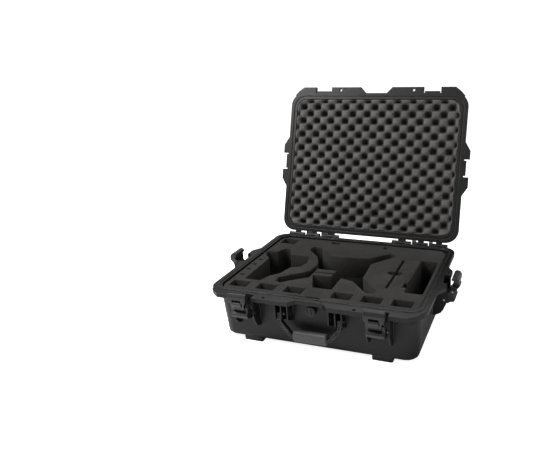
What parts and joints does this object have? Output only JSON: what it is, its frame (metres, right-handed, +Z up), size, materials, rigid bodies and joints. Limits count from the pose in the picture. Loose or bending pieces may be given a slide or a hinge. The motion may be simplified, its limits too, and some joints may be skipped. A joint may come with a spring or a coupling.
{
  "type": "drone carrying case",
  "caption": "Hard transit case for a drone with a hinged lid, latches, a folding handle and cut foam inside.",
  "frame": {"origin": "centre of the base's flat bottom panel", "axes": "+X to the right seen from the handle side, +Y towards the hinge, +Z up"},
  "size_m": [0.702, 0.7322, 0.6325],
  "materials": {
    "resin": "moulded black resin, fine texture, satin",
    "resin_latch": "moulded black resin, smooth, semi gloss",
    "grip": "soft grey overmould with fine ribs",
    "foam": "closed cell charcoal foam, cut by machine",
    "lid_foam": "open cell charcoal foam, egg crate face",
    "steel": "stainless steel rod",
    "gasket": "silicone seal",
    "membrane": "breathable film",
    "badge": "blank plate"
  },
  "bodies": {
    "base": {"base_shell": "resin", "foam_floor_pad": "foam", "foam_lower_layer": "foam", "foam_upper_layer": "foam", "hinge_pins": "steel", "handle_pins": "steel", "latch_pins": "steel", "valve_body": "resin_latch", "valve_seal": "gasket", "valve_membrane": "membrane", "valve_cap": "resin_latch"},
    "lid": {"lid_shell": "resin", "lid_gasket": "gasket", "lid_foam": "lid_foam", "lid_badge": "badge"},
    "handle": {"handle_frame": "resin_latch", "handle_grip": "grip"},
    "lever_front_left": {"latch_lever_front_left": "resin_latch", "latch_claw_pin_front_left": "steel"},
    "claw_front_left": {"latch_claw_front_left": "resin_latch"},
    "lock_front_left": {"latch_lock_front_left": "resin_latch"},
    "lever_front_right": {"latch_lever_front_right": "resin_latch", "latch_claw_pin_front_right": "steel"},
    "claw_front_right": {"latch_claw_front_right": "resin_latch"},
    "lock_front_right": {"latch_lock_front_right": "resin_latch"},
    "lever_side_left": {"latch_lever_side_left": "resin_latch", "latch_claw_pin_side_left": "steel"},
    "claw_side_left": {"latch_claw_side_left": "resin_latch"},
    "lock_side_left": {"latch_lock_side_left": "resin_latch"},
    "lever_side_right": {"latch_lever_side_right": "resin_latch", "latch_claw_pin_side_right": "steel"},
    "claw_side_right": {"latch_claw_side_right": "resin_latch"},
    "lock_side_right": {"latch_lock_side_right": "resin_latch"}
  },
  "joints": [
    {"name": "lid_hinge", "type": "hinge", "parent": "base", "child": "lid", "pos_m": [0, 0.248, 0.154], "axis": [1, 0, 0], "range_deg": [0, 108.26]},
    {"name": "handle_hinge", "type": "hinge", "parent": "base", "child": "handle", "pos_m": [0, -0.239, 0.113], "axis": [-1, 0, 0], "range_deg": [0, 105]},
    {"name": "lever_hinge_front_left", "type": "hinge", "parent": "base", "child": "lever_front_left", "pos_m": [-0.1855, -0.2465, 0.106], "axis": [-1, 0, 0], "range_deg": [0, 30]},
    {"name": "claw_hinge_front_left", "type": "hinge", "parent": "lever_front_left", "child": "claw_front_left", "pos_m": [-0.1855, -0.26756, 0.12848], "axis": [-1, 0, 0], "range_deg": [-13, 0]},
    {"name": "lock_slide_front_left", "type": "slide", "parent": "claw_front_left", "child": "lock_front_left", "axis": [0, -0.2924, 0.9563], "range_m": [0, 0.006]},
    {"name": "lever_hinge_front_right", "type": "hinge", "parent": "base", "child": "lever_front_right", "pos_m": [0.1855, -0.2465, 0.106], "axis": [-1, 0, 0], "range_deg": [0, 30]},
    {"name": "claw_hinge_front_right", "type": "hinge", "parent": "lever_front_right", "child": "claw_front_right", "pos_m": [0.1855, -0.26756, 0.12848], "axis": [-1, 0, 0], "range_deg": [-13, 0]},
    {"name": "lock_slide_front_right", "type": "slide", "parent": "claw_front_right", "child": "lock_front_right", "axis": [0, -0.2924, 0.9563], "range_m": [0, 0.006]},
    {"name": "lever_hinge_side_left", "type": "hinge", "parent": "base", "child": "lever_side_left", "pos_m": [-0.311, -0.002, 0.106], "axis": [0, 1, 0], "range_deg": [0, 30]},
    {"name": "claw_hinge_side_left", "type": "hinge", "parent": "lever_side_left", "child": "claw_side_left", "pos_m": [-0.33206, -0.002, 0.12848], "axis": [0, 1, 0], "range_deg": [-13, 0]},
    {"name": "lock_slide_side_left", "type": "slide", "parent": "claw_side_left", "child": "lock_side_left", "axis": [-0.2924, 0, 0.9563], "range_m": [0, 0.006]},
    {"name": "lever_hinge_side_right", "type": "hinge", "parent": "base", "child": "lever_side_right", "pos_m": [0.311, -0.002, 0.106], "axis": [0, -1, 0], "range_deg": [0, 30]},
    {"name": "claw_hinge_side_right", "type": "hinge", "parent": "lever_side_right", "child": "claw_side_right", "pos_m": [0.33206, -0.002, 0.12848], "axis": [0, -1, 0], "range_deg": [-13, 0]},
    {"name": "lock_slide_side_right", "type": "slide", "parent": "claw_side_right", "child": "lock_side_right", "axis": [0.2924, 0, 0.9563], "range_m": [0, 0.006]}
  ],
  "couplings": [
    {"joint": "claw_hinge_front_left", "follows": "lever_hinge_front_left", "ratio": -0.43333},
    {"joint": "claw_hinge_front_right", "follows": "lever_hinge_front_right", "ratio": -0.43333},
    {"joint": "claw_hinge_side_left", "follows": "lever_hinge_side_left", "ratio": -0.43333},
    {"joint": "claw_hinge_side_right", "follows": "lever_hinge_side_right", "ratio": -0.43333}
  ]
}
